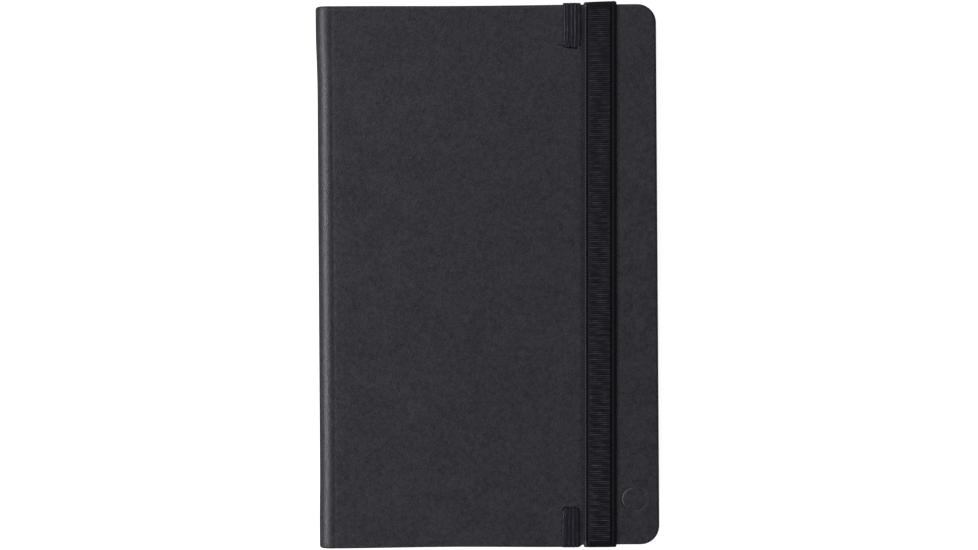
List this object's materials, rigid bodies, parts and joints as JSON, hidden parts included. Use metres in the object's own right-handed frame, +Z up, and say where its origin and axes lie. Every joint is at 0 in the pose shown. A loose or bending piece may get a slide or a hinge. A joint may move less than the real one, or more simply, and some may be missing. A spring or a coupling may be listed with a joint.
{
  "type": "pocket notebook",
  "caption": "Closed hard-cover pocket notebook in black leatherette, with sewn pages, a ribbed elastic closure round it and a narrow strap held in slits in the front cover.",
  "frame": {"origin": "on the surface that the notebook lies on, under the middle of its outline", "axes": "+Z up out of the front cover, +Y along the spine towards the head, +X from the spine to the fore-edge"},
  "size_m": [0.0886, 0.1428, 0.0166],
  "materials": {
    "leatherette": "matt black leatherette with a fine pressed grain",
    "elastic": "black ribbed woven elastic",
    "strap_elastic": "black narrow elastic with lengthwise cords",
    "board": "grey-brown binder's board",
    "paper": "uncoated ivory paper",
    "endpaper": "uncoated heavier ivory paper",
    "gauze": "open cotton gauze",
    "lining": "brown kraft paper",
    "thread": "white polyester thread",
    "endband": "black and white striped cotton",
    "pocket_card": "ivory card",
    "pocket_cloth": "black cotton cloth"
  },
  "bodies": {
    "back_cover": {"back_leatherette": "leatherette", "back_board": "board", "back_pastedown": "endpaper", "back_joint": "leatherette", "pocket_gusset_head": "pocket_cloth", "pocket_gusset_tail": "pocket_cloth"},
    "pocket": {"pocket_panel": "pocket_card"},
    "closure": {"closure_band": "elastic", "closure_stitching": "thread"},
    "text_block": {"signature_01": "paper", "signature_02": "paper", "signature_03": "paper", "signature_04": "paper", "signature_05": "paper", "signature_06": "paper", "signature_07": "paper", "signature_08": "paper", "signature_09": "paper", "signature_10": "paper", "sewing_thread": "thread", "spine_leatherette": "leatherette", "spine_card": "board", "spine_mull": "gauze", "spine_lining": "lining", "headband": "endband", "tailband": "endband", "back_flyleaf": "endpaper"},
    "front_cover": {"front_leatherette": "leatherette", "front_board": "board", "front_pastedown": "endpaper", "front_joint": "leatherette", "page_strap": "strap_elastic"},
    "front_flyleaf": {"front_flyleaf": "endpaper"},
    "leaf_1": {"leaf_1": "paper"},
    "leaf_2": {"leaf_2": "paper"},
    "leaf_3": {"leaf_3": "paper"}
  },
  "joints": [
    {"name": "text_block_hinge", "type": "hinge", "parent": "back_cover", "child": "text_block", "pos_m": [-0.0418, 0, 0.0026], "axis": [0, 1, 0], "range_deg": [-90, 0], "deforming": ["back_joint"]},
    {"name": "front_cover_hinge", "type": "hinge", "parent": "text_block", "child": "front_cover", "pos_m": [-0.0418, 0, 0.014], "axis": [0, -1, 0], "range_deg": [0, 185], "deforming": ["front_joint"]},
    {"name": "pocket_hinge", "type": "hinge", "parent": "back_cover", "child": "pocket", "pos_m": [0.04, 0, 0.00325], "axis": [0, 1, 0], "range_deg": [0, 10], "deforming": ["pocket_gusset_head", "pocket_gusset_tail"]},
    {"name": "closure_slide", "type": "slide", "parent": "back_cover", "child": "closure", "axis": [1, 0, 0], "range_m": [0, 0.022], "deforming": ["closure_band", "closure_stitching"]},
    {"name": "front_flyleaf_turn", "type": "hinge", "parent": "text_block", "child": "front_flyleaf", "pos_m": [-0.0418, 0, 0.014], "axis": [0, -1, 0], "range_deg": [0, 178]},
    {"name": "leaf_1_turn", "type": "hinge", "parent": "text_block", "child": "leaf_1", "pos_m": [-0.0418, 0, 0.014], "axis": [0, -1, 0], "range_deg": [0, 173]},
    {"name": "leaf_2_turn", "type": "hinge", "parent": "text_block", "child": "leaf_2", "pos_m": [-0.0418, 0, 0.014], "axis": [0, -1, 0], "range_deg": [0, 168]},
    {"name": "leaf_3_turn", "type": "hinge", "parent": "text_block", "child": "leaf_3", "pos_m": [-0.0418, 0, 0.014], "axis": [0, -1, 0], "range_deg": [0, 12]}
  ],
  "couplings": [
    {"joint": "pocket_hinge", "follows": "text_block_hinge", "ratio": -0.11},
    {"joint": "front_flyleaf_turn", "follows": "front_cover_hinge", "ratio": 0.955},
    {"joint": "leaf_1_turn", "follows": "front_cover_hinge", "ratio": 0.93},
    {"joint": "leaf_2_turn", "follows": "front_cover_hinge", "ratio": 0.905},
    {"joint": "leaf_3_turn", "follows": "front_cover_hinge", "ratio": 0.06}
  ]
}
